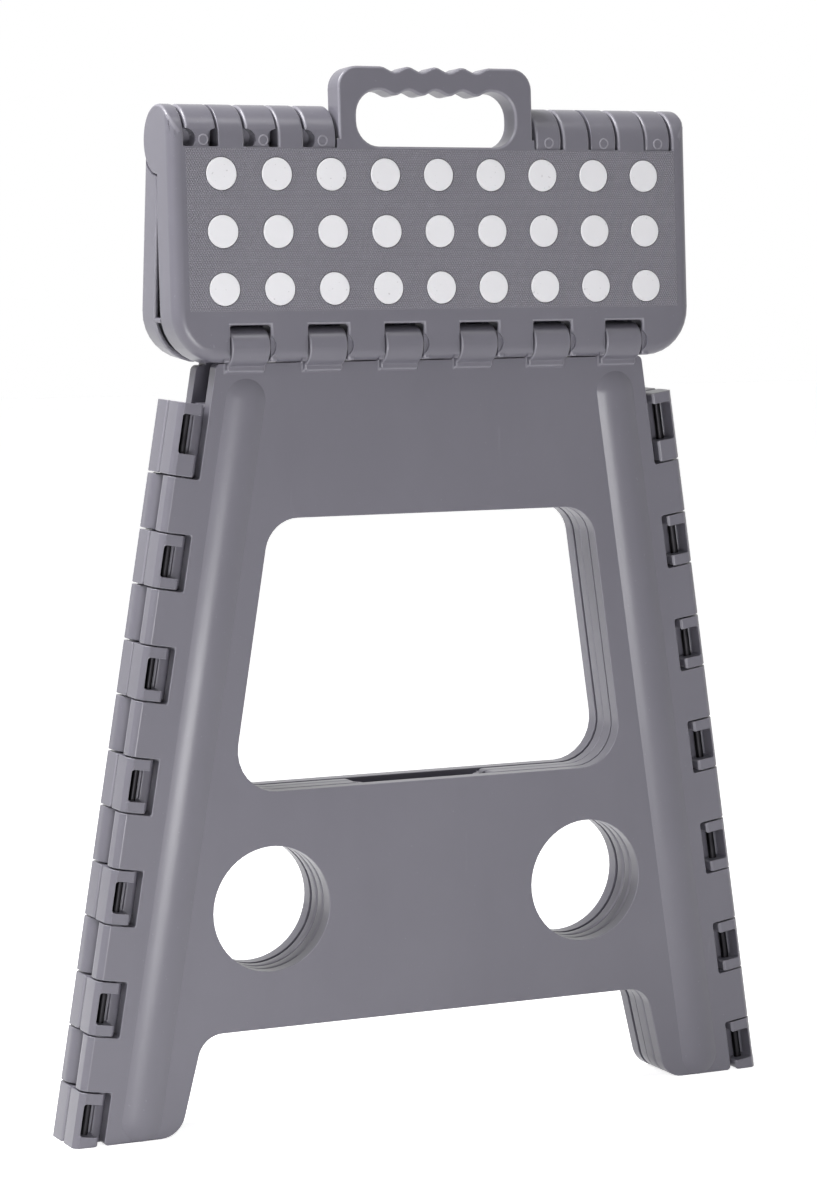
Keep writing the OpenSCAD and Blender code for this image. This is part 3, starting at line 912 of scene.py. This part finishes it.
def tread_cuts(half: Half) -> list[Cut]:
    """Planes that part the faces of a tread half at its disc seats, pins and knuckles.

    Args:
        half: The half of the tread.

    Returns:
        The planes.
    """
    lean = math.radians(90 - TREAD_TILT)
    along = Vector((0, -half.value * math.cos(lean), math.sin(lean)))
    reaches = [LAYOUT.first_row + row * LAYOUT.disc_pitch_y for row in range(LAYOUT.rows)]
    rows = [Cut(tuple(Vector((0, 0, RIDGE_Z)) - along * reach * MM), tuple(along))
            for reach in (*reaches, LAYOUT.hinge_reach)]
    last = LAYOUT.columns // 2
    columns = [Cut(((column * LAYOUT.disc_pitch_x + LAYOUT.off_centre) * MM, 0, 0), (1, 0, 0))
               for column in range(-last, last + 1)]
    levels = [Cut((0, 0, z), (0, 0, 1)) for z in (RIDGE_Z, LAYOUT.hinge_z * MM)]
    return rows + columns + levels


@dataclass
class Moulding:
    """A plastic moulding that stands for one CAD node, with its edges rounded."""

    node: str
    body: str
    plastic: bpy.types.Material
    cuts: list[Cut] = field(default_factory=upright_cuts)
    radius: float = 1.8 * MM

    def build(self) -> bpy.types.Object:
        """Builds the moulding.

        Returns:
            The piece.
        """
        piece = Bench.copy_of(self.node, f"{self.node}_moulding", self.cuts)
        Bench.round_edges(piece, self.radius)
        return self.dress(piece)

    def dress(self, piece: bpy.types.Object) -> bpy.types.Object:
        """Gives the moulding its plastic and its body, and hides the node that it stands for.

        Args:
            piece: The modelled piece.

        Returns:
            The piece.
        """
        Bench.smooth(piece)
        piece.data.materials.append(self.plastic)
        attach(piece, self.body)
        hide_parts(self.node)
        return piece


@dataclass
class Pin:
    """Steel pins that stand for one CAD node, with chamfered ends."""

    node: str
    body: str
    steel: bpy.types.Material
    chamfer: float = 0.4 * MM

    def build(self) -> bpy.types.Object:
        """Builds the pins.

        Returns:
            The piece.
        """
        piece = Bench.copy_of(self.node, f"{self.node}_turned", [])
        Bench.round_edges(piece, self.chamfer, segments=2)
        return self.dress(piece)

    def dress(self, piece: bpy.types.Object) -> bpy.types.Object:
        """Gives the pins their steel and their body, and hides the node that they stand for.

        Args:
            piece: The modelled piece.

        Returns:
            The piece.
        """
        Bench.smooth(piece)
        piece.data.materials.append(self.steel)
        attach(piece, self.body)
        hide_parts(self.node)
        return piece


@dataclass
class GripDiscs:
    """The pale discs of one tread half, each with a domed rim."""

    node: str
    body: str
    rubber: bpy.types.Material
    rim: float = 0.45 * MM
    smooth_up_to: float = 50.0

    def build(self) -> bpy.types.Object:
        """Builds the discs.

        Returns:
            The piece.
        """
        piece = Bench.copy_of(self.node, f"{self.node}_domed", [])
        Bench.round_edges(piece, self.rim, segments=4)
        return self.dress(piece)

    def dress(self, piece: bpy.types.Object) -> bpy.types.Object:
        """Gives the discs their rubber and their body, and hides the node that they stand for.

        Args:
            piece: The modelled piece.

        Returns:
            The piece.
        """
        Bench.smooth(piece, self.smooth_up_to)
        piece.data.materials.append(self.rubber)
        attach(piece, self.body)
        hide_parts(self.node)
        return piece


@dataclass
class RingMarks:
    """Raised rings that the moulding tool leaves on the front of the rear half's knuckles."""

    plastic: bpy.types.Material
    ridge_r: float = 17.5 * MM
    ring_r: float = 2.4 * MM
    bead_r: float = 0.42 * MM
    sunk: float = 0.05 * MM
    start: float = 64.4 * MM
    pitch: float = 32.4 * MM
    per_side: int = 3
    ring_steps: int = 36
    bead_steps: int = 10
    smooth_up_to: float = 60.0

    def build(self) -> bpy.types.Object:
        """Models one ring, copies it to every knuckle and joins the copies.

        Returns:
            The piece.
        """
        places = [side * (self.start + i * self.pitch)
                  for side in (1, -1) for i in range(self.per_side)]
        bpy.ops.object.select_all(action="DESELECT")
        bpy.ops.mesh.primitive_torus_add(
            major_radius=self.ring_r, minor_radius=self.bead_r,
            major_segments=self.ring_steps, minor_segments=self.bead_steps,
            location=(places[0], self.sunk - self.ridge_r, RIDGE_Z), rotation=(math.pi / 2, 0, 0),
        )
        first = Bench.placed(bpy.context.object, "ring_mark")
        self.bend(first)
        rings = [first]
        for x in places[1:]:
            Bench.only(first)
            bpy.ops.object.duplicate(linked=False)
            bpy.ops.transform.translate(value=(x - places[0], 0, 0))
            rings.append(Bench.placed(bpy.context.object, "ring_mark_copy"))
        return self.dress(Bench.joined(rings, "back_knuckle_ring_marks"))

    def bend(self, ring: bpy.types.Object) -> None:
        """Lays the ring on the round front of the knuckle.

        Args:
            ring: The flat ring.
        """
        for vertex in ring.data.vertices:
            rise = vertex.co.z - RIDGE_Z
            vertex.co.y += self.ridge_r - math.sqrt(self.ridge_r ** 2 - rise ** 2)

    def dress(self, piece: bpy.types.Object) -> bpy.types.Object:
        """Gives the rings their plastic and their body.

        Args:
            piece: The modelled piece.

        Returns:
            The piece.
        """
        Bench.smooth(piece, self.smooth_up_to)
        piece.data.materials.append(self.plastic)
        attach(piece, "back_tread")
        return piece


@dataclass
class NotchRibs:
    """Short ribs inside the front tread half that close the corners of its hinge notches.

    They reach from near to far above the hinge, and from inner_side to deck_side in front of
    the ridge axis.
    """

    plastic: bpy.types.Material
    pin_past_knuckle: float = 14.4 * MM
    per_side: int = 3
    beside: float = 14.7 * MM
    thick: float = 1.4 * MM
    near: float = 5.0 * MM
    far: float = 12.2 * MM
    deck_side: float = 15.2 * MM
    inner_side: float = 0.3 * MM
    edge_r: float = 0.4 * MM

    def rib(self, x: float) -> bpy.types.Object:
        """One rib above the hinge, leaning as the tread does.

        Args:
            x: Its middle across the tread.

        Returns:
            The rib.
        """
        depth = (self.inner_side + self.deck_side) / 2
        height = (self.near + self.far) / 2 - LAYOUT.hinge_reach * MM
        bpy.ops.object.select_all(action="DESELECT")
        bpy.ops.mesh.primitive_cube_add(size=1, location=(x, -depth, height))
        piece = bpy.context.object
        piece.scale = (self.thick, self.deck_side - self.inner_side, self.far - self.near)
        Bench.only(piece)
        bpy.ops.transform.rotate(value=math.radians(TREAD_TILT), orient_axis="X",
                                 center_override=(0, 0, 0))
        piece.location.z += RIDGE_Z
        return Bench.placed(piece, "notch_rib")

    def build(self) -> bpy.types.Object:
        """Models the ribs of all notches as one piece.

        Returns:
            The piece.
        """
        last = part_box("front_hinge_pin")[1].x - self.pin_past_knuckle
        pitch = last / (self.per_side - 0.5)
        ribs = [self.rib((i + 0.5) * pitch + side * self.beside)
                for i in range(-self.per_side, self.per_side) for side in (-1, 1)]
        piece = Bench.joined(ribs, "notch_ribs")
        Bench.round_edges(piece, self.edge_r)
        return self.dress(piece)

    def dress(self, piece: bpy.types.Object) -> bpy.types.Object:
        """Gives the ribs their plastic and their body.

        Args:
            piece: The modelled piece.

        Returns:
            The piece.
        """
        Bench.smooth(piece)
        piece.data.materials.append(self.plastic)
        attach(piece, "front_tread")
        return piece


@dataclass
class WedgePeg:
    """Small peg that keeps the folded tread halves apart near their left end."""

    plastic: bpy.types.Material
    x: float = -145.4 * MM
    z: float = 412.2 * MM
    start: float = -3.2 * MM
    end: float = 6.5 * MM
    radius: float = 1.3 * MM
    edge_r: float = 0.4 * MM
    steps: int = 28

    def build(self) -> bpy.types.Object:
        """Builds the peg.

        Returns:
            The piece.
        """
        bpy.ops.object.select_all(action="DESELECT")
        bpy.ops.mesh.primitive_cylinder_add(
            vertices=self.steps, radius=self.radius, depth=self.end - self.start,
            location=(self.x, (self.start + self.end) / 2, self.z), rotation=(math.pi / 2, 0, 0),
        )
        piece = Bench.placed(bpy.context.object, "left_wedge_peg")
        Bench.round_edges(piece, self.edge_r)
        return self.dress(piece)

    def dress(self, piece: bpy.types.Object) -> bpy.types.Object:
        """Gives the peg its plastic and its body.

        Args:
            piece: The modelled piece.

        Returns:
            The piece.
        """
        Bench.smooth(piece)
        piece.data.materials.append(self.plastic)
        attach(piece, "back_tread")
        return piece


@dataclass(frozen=True)
class Lamp:
    """One soft square lamp that faces the stool, with its place and edge in metres."""

    name: str
    at: tuple[float, float, float]
    size: float
    watts: float
    aim: tuple[float, float, float] = (0.0, 0.0, 0.28)

    def hang(self) -> None:
        """Hangs the lamp."""
        data = bpy.data.lights.new(self.name, "AREA")
        data.shape = "SQUARE"
        data.size = self.size
        data.energy = self.watts
        lamp = bpy.data.objects.new(self.name, data)
        bpy.context.scene.collection.objects.link(lamp)
        lamp.location = self.at
        ahead = Vector(self.aim) - Vector(self.at)
        lamp.rotation_euler = ahead.to_track_quat("-Z", "Y").to_euler()


@dataclass
class Studio:
    """Camera, floor and soft light."""

    camera_at: tuple[float, float, float] = (-828.6 * MM, -1656.9 * MM, 478.5 * MM)
    yaw: float = 0.4605
    pitch: float = 0.1145
    roll: float = 0.0045
    lens: float = 107.67
    sensor: float = 36.0
    clip: tuple[float, float] = (0.05, 50.0)
    floor_half: float = 6.0
    floor_drop: float = 0.05 * MM
    floor_colour: tuple[float, float, float, float] = (0.86, 0.86, 0.86, 1.0)
    floor_rough: float = 0.9
    floor_glow: float = 0.8
    room_light: float = 0.15
    white: tuple[float, float, float, float] = (1.0, 1.0, 1.0, 1.0)
    lamps: tuple[Lamp, ...] = (
        Lamp("key_left", at=(-2.3, -0.9, 0.6), size=1.5, watts=5.4),
        Lamp("back_top", at=(-0.8, 0.15, 1.35), size=0.7, watts=24.0),
        Lamp("glint", at=(0.7, -0.8, 2.2), size=0.4, watts=3.5),
        Lamp("front_left", at=(-0.9, -1.3, 1.5), size=0.7, watts=2.5),
        Lamp("low_front", at=(-0.3, -1.0, 0.0), size=0.5, watts=8.8),
    )

    def camera(self) -> None:
        """Sets up the camera at the photograph's viewpoint."""
        ahead = Vector((math.sin(self.yaw) * math.cos(self.pitch),
                        math.cos(self.yaw) * math.cos(self.pitch), -math.sin(self.pitch)))
        side = Vector((math.cos(self.yaw), -math.sin(self.yaw), 0.0))
        above = side.cross(ahead)
        right = math.cos(self.roll) * side + math.sin(self.roll) * above
        top = -math.sin(self.roll) * side + math.cos(self.roll) * above
        data = bpy.data.cameras.new("photo_view")
        data.lens = self.lens
        data.sensor_width = self.sensor
        data.clip_start, data.clip_end = self.clip
        camera = bpy.data.objects.new("photo_view", data)
        bpy.context.scene.collection.objects.link(camera)
        turn = Matrix((right, top, -ahead)).transposed().to_4x4()
        camera.matrix_world = Matrix.Translation(self.camera_at) @ turn
        bpy.context.scene.camera = camera

    def floor(self) -> None:
        """Lays a plain pale floor that keeps the stool's shadow."""
        bpy.ops.object.select_all(action="DESELECT")
        bpy.ops.mesh.primitive_plane_add(size=2 * self.floor_half,
                                         location=(0, 0, -self.floor_drop))
        plane = bpy.context.object
        plane.name = "studio_floor"
        board = Board.of_material("pale_floor")
        plane.data.materials.append(board.finish(
            Base_Color=self.floor_colour, Roughness=self.floor_rough, Emission_Color=self.white,
            Emission_Strength=board.seen() * self.floor_glow,
        ))

    def world(self) -> None:
        """Fills the room with even light and shows it white."""
        world = bpy.data.worlds.new("studio")
        bpy.context.scene.world = world
        board = Board(world, "BACKGROUND")
        light = board.seen() * (1.0 - self.room_light) + self.room_light
        board.finish(Color=self.white, Strength=light)

    def build(self) -> None:
        """Builds the whole studio."""
        self.camera()
        self.floor()
        self.world()
        for lamp in self.lamps:
            lamp.hang()
        bpy.context.scene.view_settings.view_transform = "Standard"


@dataclass
class Stool:
    """The finishes of the stool, and which piece stands for which CAD node."""

    tread_radius: float = 1.5 * MM
    bare_half: float = 75 * MM
    bare_end: float = 60 * MM
    plain: bpy.types.Material = field(init=False)
    decks: dict[str, bpy.types.Material] = field(init=False)
    rubber: bpy.types.Material = field(init=False)
    steel: bpy.types.Material = field(init=False)

    def __post_init__(self) -> None:
        """Makes the finishes."""
        self.plain = MouldedPlastic().make()
        whole = DeckRelief(Half.FRONT)
        recessed = DeckRelief(Half.BACK, bare_half=self.bare_half, bare_end=self.bare_end)
        self.decks = {"front_tread": MouldedPlastic("front_deck_plastic", relief=whole).make(),
                      "back_tread": MouldedPlastic("back_deck_plastic", relief=recessed).make()}
        self.rubber, self.steel = GripRubber().make(), PlainSteel().make()

    def dressed_node(self, node: str, body: str) -> Moulding | Pin | GripDiscs:
        """The piece that stands for a CAD node.

        Args:
            node: The node.
            body: The body that it rides on.

        Returns:
            The piece, not built yet.
        """
        if node.endswith(("pin", "pins")):
            return Pin(node, body, self.steel)
        if node.endswith("discs"):
            return GripDiscs(node, body, self.rubber)
        if node not in self.decks:
            return Moulding(node, body, self.plain)
        half = Half.BACK if node.startswith("back") else Half.FRONT
        return Moulding(node, body, self.decks[node], tread_cuts(half), self.tread_radius)

    def small_marks(self) -> list[RingMarks | NotchRibs | WedgePeg]:
        """The small pieces that no CAD node holds, not built yet."""
        # Painted highlight: the raised ring marks get a plastic paler than the body's.
        marks = MouldedPlastic("ring_mark_highlight_plastic", body=tint(146, 144, 153),
                               pale=tint(160, 158, 166)).make()
        return [RingMarks(marks), NotchRibs(self.plain), WedgePeg(self.plain)]


def main() -> None:
    """Builds the studio and every piece of the stool."""
    logging.basicConfig(level=logging.INFO, format="%(name)s: %(message)s")
    Studio().build()
    stool = Stool()
    bodies = frame["record"]["behaviour"]["bodies"]
    parts = [stool.dressed_node(node, body) for body, nodes in bodies.items() for node in nodes]
    for part in parts + stool.small_marks():
        piece = part.build()
        log.info("%s: %d faces", piece.name, len(piece.data.polygons))


if __name__ == "__main__":
    main()
